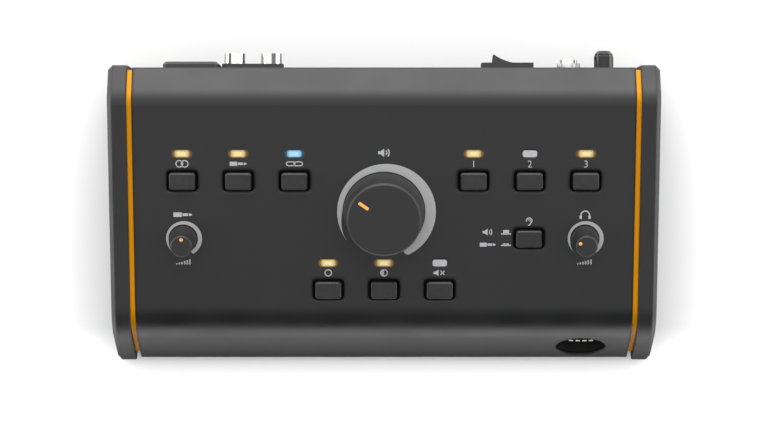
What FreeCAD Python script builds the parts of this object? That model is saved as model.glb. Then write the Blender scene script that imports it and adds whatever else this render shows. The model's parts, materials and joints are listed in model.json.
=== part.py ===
import FreeCAD, Part
import math
import os

# Desktop studio monitor controller: a folded cover between two moulded cheeks,
# with push buttons and three knobs on a sloping panel and the sockets on the rear.
# Millimetres, +X right, +Y to the rear, +Z up. The origin is on the table,
# below the middle of the whole object.

# Case outline, seen from the side
foot_height = 4.0
case_width = 200.6
case_depth = 118.8
rear_height = 51.0
apex_height = 57.4
apex_setback = 11.8
panel_tilt = 14.0
front_lean = 22.0
apex_radius = 8.5
front_radius = 18.0
front_foot_radius = 2.5
cover_wall = 1.5
cover_lip_depth = 9.0
tray_wall = 1.5
tray_gap = 0.3
rear_panel_wall = 1.5
rear_panel_inset = 0.3

# Cheeks and the bands beside them
band_thickness = 2.0
band_inset = 1.0
band_depth = 8.0
band_foot = 7.0
cheek_thickness = 7.7
cheek_overhang = 1.0
cheek_chamfer = 1.8
cheek_edge_break = 0.3
cheek_wall = 2.6
cheek_rim = 3.5
cheek_boss_radius = 4.0
boss_rear_u = 22.0
boss_front_margin = 26.5
boss_top_run = 29.7
boss_gap = 2.0
cheek_rib_width = 1.6
cheek_lip_radius = 3.0

# Panel layout. The main knob stands at a share of the panel's length, and rows count from it.
knob_share = 0.4914
column_pitch = 22.4
column_margin = 19.8
source_row = 12.8
lens_pitch = 11.1
lower_row_margin = 7.48
listen_row = -10.9
side_knob_row = -11.0

# Buttons
button_opening_width = 12.6
button_opening_height = 8.6
button_opening_radius = 1.6
button_gap = 0.8
button_side_gap = 1.1
button_radius = 1.1
button_rise = 2.0
button_edge_bevel = 0.45
button_travel = 1.5
button_flange_width = 1.4
button_flange_wall = 1.0
button_flange_gap = 0.3
stem_width = 3.2
stem_gap = 0.15
stem_engagement = 2.2
switch_width = 7.4
switch_height = 4.4

# Indicator windows
lens_width = 5.8
lens_height = 2.75
lens_radius = 1.0
lens_overlap = 0.35
lens_gap = 0.05
lens_guide = 2.0
lens_rise = 0.15
led_width = 3.0
led_depth = 2.0
led_height = 1.6

# Knobs: base diameter, top diameter and height over the panel
knob_gap = 0.6
main_knob_base = 32.6
main_knob_top = 29.7
main_knob_height = 13.5
main_knob_bevel = 0.7
main_knob_wall = 2.4
main_knob_boss = 12.0
main_knob_boss_clearance = 3.4
side_knob_base = 10.8
side_knob_top = 8.7
side_knob_height = 13.0
side_knob_bevel = 0.45
pointer_length = 4.7
pointer_width = 1.3
pointer_radius = 9.9
pointer_angle = 54.7
inlay_depth = 0.6
dot_diameter = 1.4
dot_radius = 2.8
phones_dot_angle = 63.5

# Pots and their shafts
board_gap = 10.5
board_wall = 1.6
main_shaft_diameter = 6.0
side_shaft_diameter = 4.0
shaft_fit = 0.05
main_pot_width = 17.0
side_pot_width = 10.0
pot_drop = 2.0
bushing_wall = 0.9
bushing_gap = 0.3
pot_nut_width = 10.0
pot_nut_height = 1.8
shaft_top_gap = 2.5
pot_floor = 1.0
bushing_reach = 2.2

# Boards and spacers
control_board_margin = 6.8
control_board_front_margin = 7.8
board_jack_gap = 1.0
board_notch_gap = 0.8
panel_post_width = 5.0
post_rear_row = 20.0
post_row_gap = 4.2
main_board_margin = 4.8
main_board_front_gap = 1.7
main_board_setback = 3.5
board_post_height = 3.9
board_post_width = 6.0

# Rear sockets, placed from the middle of the case and up from its underside
combo_margin = 22.65
combo_z = 27.0
combo_width = 22.6
combo_height = 31.0
combo_rise = 3.1
combo_bevel = 1.0
combo_flange_radius = 3.5
combo_barrel_diameter = 21.4
combo_barrel_depth = 17.0
combo_ring_bore = 18.6
combo_core_diameter = 13.0
combo_core_setback = 1.0
combo_socket_depth = 13.0
plug_bore = 6.4
rca_margin = 47.3
rca_pitch = 14.8
rca_z = 30.0
rca_barrel_diameter = 8.3
rca_barrel_wall = 0.7
rca_reach = 6.5
rca_block_width = 24.6
rca_block_height = 12.6
rca_block_rise = 2.5
rca_block_radius = 1.0
rca_body_width = 22.6
rca_body_height = 10.2
rca_body_radius = 0.8
rca_body_depth = 11.0
rca_pin_bore = 3.2
rca_core_setback = 0.8
jack_count = 4
jack_width = 14.4
jack_row_pitch = 17.0
jack_body_height = 12.4
jack_body_depth = 26.0
jack_bore_depth = 22.0
jack_collar_diameter = 10.8
socket_gap = 0.2
switch_margin = 50.3
switch_z = 26.0
bezel_width = 21.0
bezel_height = 15.0
bezel_rise = 3.1
bezel_radius = 0.9
switch_body_width = 19.4
switch_body_height = 13.4
switch_body_depth = 13.0
switch_wall = 1.2
rocker_gap = 0.4
rocker_half_width = 7.2
rocker_tip = 4.9
rocker_hollow = 1.3
rocker_root = 3.0
rocker_root_half_width = 6.0
rocker_tilt = 15.0
rocker_pin_diameter = 2.2
rocker_pin_length = 0.5
dc_margin = 25.0
dc_z = 20.0
dc_collar_diameter = 6.9
dc_rise = 4.4
dc_body_width = 9.6
dc_body_depth = 12.0
dc_bore = 5.5
dc_bore_depth = 9.0
dc_pin_setback = 1.2
dc_pin_diameter = 2.0
dc_nut_width = 9.2
dc_nut_height = 3.2
aerial_margin = 10.9
aerial_z = 24.0
aerial_body_diameter = 7.9
aerial_cap_diameter = 7.3
aerial_cap_height = 1.9
aerial_reach = 7.9
aerial_cap_bevel = 1.3
aerial_body_bevel = 0.3

# Headphone socket in the front
phones_hole_diameter = 20.3
phones_jack_gap = 0.4
phones_collar_reach = 1.6
cup_wall = 1.1

# Feet and screws
foot_diameter = 13.0
foot_taper = 1.2
foot_margin = 12.3
foot_rear_u = 16.0
foot_lip_gap = 1.5
screw_head_width = 5.5
screw_head_height = 1.8
screw_shank_diameter = 3.0
screw_length = 6.0
screw_fit = 0.05
base_screw_margin = 28.3
base_screw_count = 4
base_screw_length = 3.6

half_width = case_width / 2
outer_column = half_width - column_margin

os.makedirs("parts", exist_ok=True)
V = FreeCAD.Vector
right = V(1, 0, 0)
rearward = V(0, 1, 0)
up = V(0, 0, 1)


# Helpers

def block(low, high):
    """A box between two opposite corners."""
    size = V(*high) - V(*low)
    return Part.makeBox(size.x, size.y, size.z, V(*low))


def rod(diameter, start, direction, length):
    """A round bar from a point along a direction."""
    return Part.makeCylinder(diameter / 2, length, V(*start), direction)


def hexagon(width, low, high):
    """A hexagonal bar about the local axis, by its width over two flats."""
    reach = width / math.sqrt(3)
    corners = []
    for turn in range(7):
        angle = math.radians(60 * turn + 30)
        corners.append(V(reach * math.cos(angle), reach * math.sin(angle), low))
    return Part.Face(Part.makePolygon(corners)).extrude(V(0, 0, high - low))


def upright_edges(shape):
    """The edges of a plate that run along its own thickness."""
    found = []
    for edge in shape.Edges:
        start = edge.Vertexes[0].Point
        end = edge.Vertexes[-1].Point
        if abs(start.x - end.x) < 1e-6 and abs(start.y - end.y) < 1e-6:
            found.append(edge)
    return found


def plate(width, height, radius, low, high):
    """A plate with rounded corners, centred on the local axis, between two levels."""
    blank = block((-width / 2, -height / 2, low), (width / 2, height / 2, high))
    return blank.makeFillet(radius, upright_edges(blank))


def edges_at_level(shape, level):
    """The edges that lie wholly at one local height."""
    found = []
    for edge in shape.Edges:
        box = edge.BoundBox
        if abs(box.ZMin - level) < 1e-4 and abs(box.ZMax - level) < 1e-4:
            found.append(edge)
    return found


def moved(shape, x, y, z=0.0):
    copy = shape.copy()
    copy.translate(V(x, y, z))
    return copy


def save(name, shape):
    """Write one node, as a solid or a group of separate solids."""
    solids = shape.Solids
    if not solids or not all(solid.isValid() for solid in solids):
        raise ValueError("bad shape in " + name)
    whole = solids[0] if len(solids) == 1 else Part.makeCompound(solids)
    whole.exportStep("parts/" + name + ".step")


# Case outline: u runs forward from the rear face, z up from the underside

def line_meet(first, second):
    """Where two lines cross, each given as a point and a direction."""
    (ax, az), (dx, dz) = first
    (bx, bz), (ex, ez) = second
    along = ((bx - ax) * ez - (bz - az) * ex) / (dx * ez - dz * ex)
    return ax + along * dx, az + along * dz


def inset_line(u, z, heading, inset):
    """A side of the outline, moved inward. Walking along it, the inside is on the right."""
    angle = math.radians(heading)
    dx = math.cos(angle)
    dz = math.sin(angle)
    return (u + dz * inset, z - dx * inset), (dx, dz)


bevel_angle = math.degrees(math.atan2(apex_height - rear_height, apex_setback))


def outline_corners(inset, base_inset, rear_inset):
    """The sharp corners: rear lip, apex, front bend, front foot, rear foot."""
    sides = [
        inset_line(0.0, 0.0, 90.0, rear_inset),
        inset_line(0.0, rear_height, bevel_angle, inset),
        inset_line(apex_setback, apex_height, -panel_tilt, inset),
        inset_line(case_depth, 0.0, front_lean - 90.0, inset),
        inset_line(case_depth, 0.0, 180.0, base_inset),
    ]
    return [line_meet(sides[index], sides[(index + 1) % 5]) for index in range(5)]


# The origin lies midway between the front of the cheeks and the tip of the aerial stub.
foot_turn = math.radians(90.0 + front_lean)
front_corner_cut = front_foot_radius * (math.tan(foot_turn / 2) - 1.0)
front_reach = case_depth - front_corner_cut + cheek_overhang
rear_y = (front_reach - aerial_reach) / 2


def spot(x, u, z):
    """A point of the case in the object's frame."""
    return V(x, rear_y - u, foot_height + z)


def outline_face(inset, base_inset, rear_inset, x, lip_radius, foot_radius):
    """The case outline as a face at one X, with its bends rounded."""
    corners = outline_corners(inset, base_inset, rear_inset)
    bends = [lip_radius, apex_radius - inset, front_radius - inset, foot_radius, 0.0]
    edges = []
    joints = []
    for index, (u, z) in enumerate(corners):
        before = corners[index - 1]
        after = corners[(index + 1) % 5]
        here = spot(x, u, z)
        back = (spot(x, *before) - here).normalize()
        ahead = (spot(x, *after) - here).normalize()
        radius = bends[index]
        if radius <= 0.05:
            joints.append((here, here))
            continue
        half = back.getAngle(ahead) / 2
        cut = radius / math.tan(half)
        start = here + back * cut
        end = here + ahead * cut
        middle_way = (back + ahead).normalize()
        nearest = here + middle_way * (radius / math.sin(half) - radius)
        edges.append((index, Part.Arc(start, nearest, end).toShape()))
        joints.append((start, end))
    arcs = dict(edges)
    path = []
    for index in range(5):
        if index in arcs:
            path.append(arcs[index])
        leave = joints[index][1]
        arrive = joints[(index + 1) % 5][0]
        path.append(Part.makeLine(leave, arrive))
    return Part.Face(Part.Wire(path))


def outline_slab(inset, base_inset, x_low, x_high, rear_inset=None, lip_radius=0.0, foot_radius=None):
    """The case outline as a solid between two X values, moved inward by its insets."""
    rear = inset if rear_inset is None else rear_inset
    foot = front_foot_radius - inset if foot_radius is None else foot_radius
    face = outline_face(inset, base_inset, rear, x_low, lip_radius, foot)
    return face.extrude(V(x_high - x_low, 0, 0))


# Frames: the panel, the rear face and the front hole

tilt = math.radians(panel_tilt)
apex, bend = outline_corners(0.0, 0.0, 0.0)[1:3]
panel_run = math.dist(apex, bend)
bend_cut = front_radius * math.tan(math.radians(90.0 - front_lean - panel_tilt) / 2)
knob_setback = knob_share * panel_run
lower_row = knob_setback - (panel_run - bend_cut - lower_row_margin)
source_lens_row = source_row + lens_pitch
lower_lens_row = lower_row + lens_pitch
knob_u = apex_setback + knob_setback * math.cos(tilt)
knob_centre = spot(0, knob_u, apex_height - knob_setback * math.sin(tilt))
panel_frame = FreeCAD.Placement(knob_centre, FreeCAD.Rotation(right, panel_tilt))
rear_face_y = rear_y - rear_panel_inset


def on_panel(shape):
    """Moves a shape from panel coordinates, with Z square to the panel, to its place."""
    return shape.transformed(panel_frame.toMatrix(), True)


def on_rear(shape, x, z):
    """Moves a shape whose local Z points out of the rear face to its place there."""
    frame = FreeCAD.Placement(V(x, rear_face_y, foot_height + z), FreeCAD.Rotation(right, -90))
    return shape.transformed(frame.toMatrix(), True)


inner_columns = (outer_column, outer_column - column_pitch, outer_column - 2 * column_pitch)
lower_columns = (-column_pitch, 0.0, column_pitch)
buttons = {
    "stereo_button": (-inner_columns[0], source_row),
    "aux_button": (-inner_columns[1], source_row),
    "pairing_button": (-inner_columns[2], source_row),
    "output_1_button": (inner_columns[2], source_row),
    "output_2_button": (inner_columns[1], source_row),
    "output_3_button": (inner_columns[0], source_row),
    "mono_button": (lower_columns[0], lower_row),
    "dim_button": (lower_columns[1], lower_row),
    "mute_button": (lower_columns[2], lower_row),
    "listen_button": (inner_columns[1], listen_row),
}
lens_places = {
    "lit_lenses": [
        (-inner_columns[0], source_lens_row),
        (-inner_columns[1], source_lens_row),
        (inner_columns[2], source_lens_row),
        (inner_columns[0], source_lens_row),
        (lower_columns[0], lower_lens_row),
        (lower_columns[1], lower_lens_row),
    ],
    "pairing_lens": [(-inner_columns[2], source_lens_row)],
    "unlit_lenses": [
        (inner_columns[1], source_lens_row),
        (lower_columns[2], lower_lens_row),
    ],
}
side_knobs = {"aux": -outer_column, "phones": outer_column}
combo_x = combo_margin - half_width
rca_middle = rca_margin - half_width
rca_x = (rca_middle - rca_pitch / 2, rca_middle + rca_pitch / 2)
switch_x = half_width - switch_margin
dc_x = half_width - dc_margin
aerial_x = half_width - aerial_margin
jack_span_start = rca_middle + rca_block_width / 2
jack_span = switch_x - bezel_width / 2 - jack_span_start
jack_space = (jack_span - jack_count * jack_width) / (jack_count + 1)
jack_columns = []
for column in range(jack_count):
    jack_columns.append(jack_span_start + (column + 1) * jack_space + (column + 0.5) * jack_width)
main_bushing = main_shaft_diameter + 2 * shaft_fit + 2 * bushing_wall
side_bushing = side_shaft_diameter + 2 * shaft_fit + 2 * bushing_wall

# Case pieces

cover_back = case_depth - cover_lip_depth
tray_top = cover_wall + tray_wall
tray_inset = cover_wall + tray_gap
panel_back = rear_panel_inset + rear_panel_wall
board_top = tray_top + board_post_height + board_wall
jack_low_z = board_top + jack_body_height / 2
phones_face_u = case_depth - jack_low_z * math.tan(math.radians(front_lean))
sheet_run = cover_wall / math.cos(math.radians(front_lean))
base_screw_u = case_depth - cover_lip_depth / 2 - front_corner_cut / 2
base_screw_x = half_width - base_screw_margin
base_screw_pitch = 2 * base_screw_x / (base_screw_count - 1)
base_screw_places = [
    (number * base_screw_pitch - base_screw_x, base_screw_u) for number in range(base_screw_count)
]
foot_front_u = cover_back - foot_diameter / 2 - foot_lip_gap
boss_front_u = case_depth - boss_front_margin
boss_top_u = apex_setback + boss_top_run
boss_margin = band_inset + band_depth + cheek_boss_radius + boss_gap
boss_low_z = boss_margin
boss_high_z = apex_height - boss_top_run * math.tan(tilt) - boss_margin
foot_x = half_width - foot_margin
foot_places = [(x, u) for x in (-foot_x, foot_x) for u in (foot_rear_u, foot_front_u)]
boss_places = [(boss_rear_u, boss_low_z), (boss_front_u, boss_low_z), (boss_top_u, boss_high_z)]


def panel_cuts():
    """Everything that is cut through the panel, in panel coordinates."""
    low = -2 * cover_wall
    high = cover_wall
    opening = plate(button_opening_width, button_opening_height, button_opening_radius, low, high)
    half = lens_width / 2 - lens_overlap
    tall = lens_height / 2 - lens_overlap
    window = block((-half, -tall, low), (half, tall, high))
    cuts = [moved(opening, x, t) for x, t in buttons.values()]
    for places in lens_places.values():
        cuts += [moved(window, x, t) for x, t in places]
    cuts.append(rod(main_bushing + 2 * bushing_gap, (0, 0, low), up, high - low))
    for x in side_knobs.values():
        cuts.append(rod(side_bushing + 2 * bushing_gap, (x, side_knob_row, low), up, high - low))
    return [on_panel(cut) for cut in cuts]


def front_hole():
    """A cutter for the round hole, square to the front face."""
    lean = math.radians(front_lean)
    outward = V(0, -math.cos(lean), math.sin(lean))
    centre = spot(outer_column, phones_face_u, jack_low_z)
    start = centre - outward * (3 * cover_wall)
    return rod(phones_hole_diameter, start, outward, 6 * cover_wall)


def screw_hole(x, u, low, high):
    return rod(screw_shank_diameter + 2 * screw_fit, spot(x, u, low), up, high - low)


def top_cover():
    outer = outline_slab(0.0, 0.0, -half_width, half_width)
    inner = outline_slab(cover_wall, cover_wall, -half_width - 1, half_width + 1, rear_inset=-1.0)
    behind_lip = block(spot(-half_width - 1, cover_back, -1), spot(half_width + 1, -1, cover_wall))
    cuts = [inner, behind_lip, front_hole()] + panel_cuts()
    cuts += [screw_hole(x, u, -1, tray_top) for x, u in base_screw_places]
    return outer.cut(cuts).removeSplitter()


def chassis_tray():
    ends = (-half_width, half_width)
    solid = outline_slab(tray_inset, cover_wall, *ends, rear_inset=panel_back, foot_radius=front_foot_radius)
    inside = half_width - tray_wall
    hollow = block(spot(-inside, case_depth, tray_top), spot(inside, -1, apex_height))
    cuts = [hollow]
    cuts += [screw_hole(x, u, 0, 2 * tray_top) for x, u in base_screw_places]
    for side in (-1, 1):
        for u, z in boss_places:
            start = spot(side * (inside - 1), u, z)
            cuts.append(rod(screw_shank_diameter + 2 * screw_fit, start, right * side, tray_wall + 2))
    return solid.cut(cuts)


def rear_panel():
    solid = outline_slab(tray_inset, cover_wall, -half_width, half_width, rear_inset=rear_panel_inset)
    front = block(spot(-half_width, case_depth, 0), spot(half_width, panel_back, apex_height))
    low = -3 * rear_panel_wall
    high = rear_panel_wall
    cuts = [front]

    def round_hole(diameter):
        return rod(diameter + 2 * socket_gap, (0, 0, low), up, high - low)

    cuts.append(on_rear(round_hole(combo_barrel_diameter), combo_x, combo_z))
    rca_hole_width = rca_body_width + 2 * socket_gap
    rca_hole_height = rca_body_height + 2 * socket_gap
    rca_hole = plate(rca_hole_width, rca_hole_height, rca_body_radius, low, high)
    cuts.append(on_rear(rca_hole, rca_middle, rca_z))
    collar_hole = round_hole(jack_collar_diameter)
    for x in jack_columns:
        for row in range(2):
            cuts.append(on_rear(collar_hole, x, jack_low_z + row * jack_row_pitch))
    half_body = switch_body_width / 2 + socket_gap
    half_tall = switch_body_height / 2 + socket_gap
    switch_hole = block((-half_body, -half_tall, low), (half_body, half_tall, high))
    cuts.append(on_rear(switch_hole, switch_x, switch_z))
    cuts.append(on_rear(round_hole(dc_collar_diameter), dc_x, dc_z))
    return solid.cut(cuts)


def cheek(side):
    near = half_width + band_thickness
    far = near + cheek_thickness
    floor = far - cheek_wall
    body = outline_slab(-cheek_overhang, -cheek_overhang, near, far, lip_radius=cheek_lip_radius)
    outer_edges = [edge for edge in body.Edges if edge.BoundBox.XMin > far - 1e-4]
    body = body.makeChamfer(cheek_chamfer, outer_edges)
    inner_edges = [edge for edge in body.Edges if edge.BoundBox.XMax < near + 1e-4]
    body = body.makeChamfer(cheek_edge_break, inner_edges)
    body = body.cut(outline_slab(cheek_rim, cheek_rim, near - 1, floor))
    ribs = []
    for u in (boss_rear_u, boss_top_u, boss_front_u):
        half = cheek_rib_width / 2
        ribs.append(block(spot(near, u + half, 0), spot(floor, u - half, apex_height)))
    inside = outline_slab(cheek_rim, cheek_rim, near, floor)
    ribs = [rib.common(inside) for rib in ribs]
    bosses = []
    bores = []
    bore_width = screw_shank_diameter + 2 * screw_fit
    for u, z in boss_places:
        bosses.append(rod(2 * cheek_boss_radius, spot(half_width, u, z), right, floor - half_width))
        bores.append(rod(bore_width, spot(half_width - 1, u, z), right, screw_length + 1))
    body = body.fuse(ribs + bosses).cut(bores)
    if side < 0:
        body = body.mirror(V(0, 0, 0), right)
    return body


def trim_strip(side):
    near = half_width
    far = near + band_thickness
    band = outline_slab(band_inset, band_inset, near, far)
    inner = outline_slab(band_inset + band_depth, band_inset + band_depth, near - 1, far + 1)
    foot = block(spot(near - 1, case_depth + 1, -1), spot(far + 1, -1, band_foot))
    band = band.cut([inner, foot])
    if side < 0:
        band = band.mirror(V(0, 0, 0), right)
    return band


def screw(length):
    """A hexagon headed screw along local Z, with its head below zero."""
    head = hexagon(screw_head_width, -screw_head_height, 0.0)
    return head.fuse(rod(screw_shank_diameter, (0, 0, 0), up, length)).removeSplitter()


def base_screws():
    return Part.makeCompound([moved(screw(base_screw_length), *spot(x, u, 0)) for x, u in base_screw_places])


def cheek_screws():
    solids = []
    for side in (-1, 1):
        one = screw(tray_wall + screw_length - 1)
        one.rotate(V(0, 0, 0), rearward, 90 * side)
        for u, z in boss_places:
            solids.append(moved(one, *spot(side * (half_width - tray_wall), u, z)))
    return Part.makeCompound(solids)


def rubber_feet():
    height = foot_height + cover_wall
    foot = Part.makeCone(foot_diameter / 2 - foot_taper, foot_diameter / 2, height)
    return Part.makeCompound([moved(foot, *spot(x, u, -foot_height)) for x, u in foot_places])


# Boards and what they carry

def control_board():
    """The board under the panel, notched over the headphone recess and clear of the rear sockets."""
    low = -board_gap - board_wall
    half = half_width - tray_wall - control_board_margin
    jacks_u = panel_back + jack_body_depth + board_jack_gap
    rear = (knob_u - jacks_u + low * math.sin(tilt)) / math.cos(tilt)
    front = lower_row - control_board_front_margin
    board = block((-half, front, low), (half, rear, -board_gap))
    notch_x = outer_column - phones_hole_diameter / 2 - cup_wall - board_notch_gap
    notch_row = side_knob_row - side_pot_width / 2 - board_notch_gap
    notch = block((notch_x, front - 1, low - 1), (half + 1, notch_row, 1 - board_gap))
    return on_panel(board.cut(notch))


def panel_posts():
    middle = outer_column - column_pitch / 2
    places = [(-middle, post_rear_row), (middle, post_rear_row)]
    places += [(share * column_pitch / 2, lower_row + post_row_gap) for share in (-3, -1, 1, 3)]
    post = hexagon(panel_post_width, -board_gap, -cover_wall)
    return Part.makeCompound([on_panel(moved(post, x, t)) for x, t in places])


main_board_half = half_width - tray_wall - main_board_margin
main_board_rear_u = panel_back + main_board_setback


def main_board():
    low = spot(-main_board_half, phones_body_u() - main_board_front_gap, board_top - board_wall)
    return block(low, spot(main_board_half, main_board_rear_u, board_top))


def board_posts():
    inset = board_post_width
    middle_u = (main_board_rear_u + phones_body_u()) / 2
    post = hexagon(board_post_width, 0.0, board_post_height)
    solids = []
    for x in (inset - main_board_half, 0.0, main_board_half - inset):
        for u in (main_board_rear_u + inset, middle_u):
            solids.append(moved(post, *spot(x, u, tray_top)))
    return Part.makeCompound(solids)


def switch_bodies():
    top = -board_gap + switch_height
    half = switch_width / 2
    well_half = stem_width / 2 + stem_gap
    well_depth = stem_engagement + button_travel + stem_gap
    body = block((-half, -half, -board_gap), (half, half, top))
    body = body.cut(block((-well_half, -well_half, top - well_depth), (well_half, well_half, top + 1)))
    return Part.makeCompound([on_panel(moved(body, x, t)) for x, t in buttons.values()])


def button(x, t):
    """A cap with its stop flange and stem, in its place."""
    width = button_opening_width - 2 * button_side_gap
    height = button_opening_height - 2 * button_gap
    flange_top = -cover_wall - button_flange_gap
    flange_low = flange_top - button_flange_wall
    cap = plate(width, height, button_radius, flange_top, button_rise)
    cap = cap.makeChamfer(button_edge_bevel, edges_at_level(cap, button_rise))
    flange_half = button_opening_width / 2 + button_flange_width
    flange_tall = button_opening_height / 2 + button_flange_width
    flange = block((-flange_half, -flange_tall, flange_low), (flange_half, flange_tall, flange_top))
    stem_tip = -board_gap + switch_height - stem_engagement
    half = stem_width / 2
    stem = block((-half, -half, stem_tip), (half, half, flange_low))
    return on_panel(moved(cap.fuse([flange, stem]).removeSplitter(), x, t))


def lenses(places):
    half = lens_width / 2 - lens_overlap - lens_gap
    tall = lens_height / 2 - lens_overlap - lens_gap
    low = -cover_wall - lens_guide
    face = plate(lens_width, lens_height, lens_radius, 0.0, lens_rise)
    lens = face.fuse(block((-half, -tall, low), (half, tall, 0.0))).removeSplitter()
    return Part.makeCompound([on_panel(moved(lens, x, t)) for x, t in places])


def indicator_leds():
    half = led_width / 2
    tall = led_depth / 2
    led = block((-half, -tall, -board_gap), (half, tall, -board_gap + led_height))
    places = [place for group in lens_places.values() for place in group]
    return Part.makeCompound([on_panel(moved(led, x, t)) for x, t in places])


# Knobs, pots and shafts

def knob(base, top, height, bevel, shaft):
    """A tapered knob with a blind bore for its shaft."""
    body = Part.makeCone(base / 2, top / 2, height - knob_gap, V(0, 0, knob_gap))
    body = body.makeChamfer(bevel, edges_at_level(body, height))
    return body.cut(rod(shaft + 2 * shaft_fit, (0, 0, 0), up, height - shaft_top_gap))


def pointer_blank():
    """The bar inlaid in the top of the main knob."""
    start = pointer_radius - pointer_length / 2
    low = main_knob_height - inlay_depth
    bar = plate(pointer_width, pointer_length, pointer_width * 0.3, low, main_knob_height)
    bar.translate(V(0, start + pointer_length / 2, 0))
    bar.rotate(V(0, 0, 0), up, pointer_angle)
    return bar


def dot_blank(angle):
    dot = rod(dot_diameter, (0, dot_radius, side_knob_height - inlay_depth), up, inlay_depth)
    dot.rotate(V(0, 0, 0), up, angle)
    return dot


def main_knob():
    body = knob(main_knob_base, main_knob_top, main_knob_height, main_knob_bevel, main_shaft_diameter)
    ceiling = main_knob_height - main_knob_wall
    skirt = Part.makeCone(main_knob_base / 2 - main_knob_wall, main_knob_top / 2 - main_knob_wall, ceiling)
    boss = rod(main_knob_boss, (0, 0, main_knob_boss_clearance), up, ceiling)
    return body.cut([skirt.cut(boss), pointer_blank()])


def side_knob(angle):
    body = knob(side_knob_base, side_knob_top, side_knob_height, side_knob_bevel, side_shaft_diameter)
    return body.cut(dot_blank(angle))


def pot(width, shaft, bushing, reach):
    """A pot with its bushing, bored for the shaft."""
    top = -cover_wall - pot_drop
    body = block((-width / 2, -width / 2, -board_gap), (width / 2, width / 2, top))
    body = body.fuse(rod(bushing, (0, 0, top), up, reach - top))
    floor = -board_gap + pot_floor
    return body.cut(rod(shaft + 2 * shaft_fit, (0, 0, floor), up, reach - floor + 1)).removeSplitter()


def shaft(diameter, height):
    low = -board_gap + pot_floor + shaft_fit
    return rod(diameter, (0, 0, low), up, height - shaft_top_gap - low)


def pot_nut():
    nut = hexagon(pot_nut_width, 0.0, pot_nut_height)
    return on_panel(nut.cut(rod(main_bushing + 2 * shaft_fit, (0, 0, -1), up, pot_nut_height + 2)))


# Sockets

def combo_jack():
    """A round combined socket: a ring for the shell about a core with the plug bore."""
    flange = plate(combo_width, combo_height, combo_flange_radius, 0.0, combo_rise)
    flange = flange.makeChamfer(combo_bevel, edges_at_level(flange, combo_rise))
    barrel = rod(combo_barrel_diameter, (0, 0, -combo_barrel_depth), up, combo_barrel_depth)
    floor = combo_rise - combo_socket_depth
    ring = rod(combo_ring_bore, (0, 0, floor), up, combo_socket_depth + 1)
    ring = ring.cut(rod(combo_core_diameter, (0, 0, floor), up, combo_socket_depth - combo_core_setback))
    bore = rod(plug_bore, (0, 0, 1 - combo_barrel_depth), up, combo_barrel_depth + combo_rise)
    body = flange.fuse(barrel).cut([ring, bore]).removeSplitter()
    return on_rear(body, combo_x, combo_z)


def rca_housing():
    face = plate(rca_block_width, rca_block_height, rca_block_radius, 0.0, rca_block_rise)
    body = plate(rca_body_width, rca_body_height, rca_body_radius, -rca_body_depth, 0.0)
    return on_rear(face.fuse(body).removeSplitter(), rca_middle, rca_z)


def rca_barrels():
    length = rca_reach + rear_panel_inset - rca_block_rise
    barrel = rod(rca_barrel_diameter, (0, 0, rca_block_rise), up, length)
    barrel = barrel.cut(rod(rca_barrel_diameter - 2 * rca_barrel_wall, (0, 0, 0), up, 2 * rca_reach))
    return Part.makeCompound([on_rear(barrel, x, rca_z) for x in rca_x])


def rca_cores():
    width = rca_barrel_diameter - 2 * rca_barrel_wall - 2 * shaft_fit
    core = rod(width, (0, 0, rca_block_rise), up, rca_reach - rca_block_rise - rca_core_setback)
    core = core.cut(rod(rca_pin_bore, (0, 0, rca_block_rise + 1), up, rca_reach))
    return Part.makeCompound([on_rear(core, x, rca_z) for x in rca_x])


def jack_column(x):
    """Two stacked plug sockets in one body that stands on the main board."""
    half = jack_width / 2
    low = jack_body_height / 2
    back = -rear_panel_wall - jack_body_depth
    body = block((-half, -low - jack_row_pitch, back), (half, low, -rear_panel_wall))
    collars = []
    bores = []
    for row in range(2):
        y = -row * jack_row_pitch
        collars.append(rod(jack_collar_diameter, (0, y, -rear_panel_wall), up, rear_panel_wall))
        bores.append(rod(plug_bore, (0, y, -jack_bore_depth), up, jack_bore_depth + 1))
    body = body.fuse(collars).cut(bores)
    return on_rear(body, x, jack_low_z)


def power_switch():
    bezel = plate(bezel_width, bezel_height, bezel_radius, 0.0, bezel_rise)
    half = switch_body_width / 2
    tall = switch_body_height / 2
    body = block((-half, -tall, -switch_body_depth), (half, tall, 0.0))
    well = block(
        (switch_wall - half, switch_wall - tall, switch_wall - switch_body_depth),
        (half - switch_wall, tall - switch_wall, bezel_rise + 1),
    )
    reach = tall - switch_wall + rocker_pin_length + shaft_fit
    pin_hole = rod(rocker_pin_diameter + 2 * shaft_fit, (0, -reach, 0), rearward, 2 * reach)
    return on_rear(bezel.fuse(body).cut([well, pin_hole]).removeSplitter(), switch_x, switch_z)


def power_rocker():
    """A rocker with a hollow face, resting with its left end out."""
    tall = switch_body_height / 2 - switch_wall - rocker_gap
    left_tip = V(-rocker_half_width, -tall, rocker_tip)
    right_tip = V(rocker_half_width, -tall, rocker_tip)
    hollow = V(0, -tall, rocker_tip - rocker_hollow)
    right_root = V(rocker_root_half_width, -tall, -rocker_root)
    left_root = V(-rocker_root_half_width, -tall, -rocker_root)
    edges = [
        Part.Arc(left_tip, hollow, right_tip).toShape(),
        Part.makeLine(right_tip, right_root),
        Part.makeLine(right_root, left_root),
        Part.makeLine(left_root, left_tip),
    ]
    body = Part.Face(Part.Wire(edges)).extrude(V(0, 2 * tall, 0))
    reach = tall + rocker_gap + rocker_pin_length
    body = body.fuse(rod(rocker_pin_diameter, (0, -reach, 0), rearward, 2 * reach)).removeSplitter()
    body.rotate(V(0, 0, 0), rearward, rocker_tilt)
    return on_rear(body, switch_x, switch_z)


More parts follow.
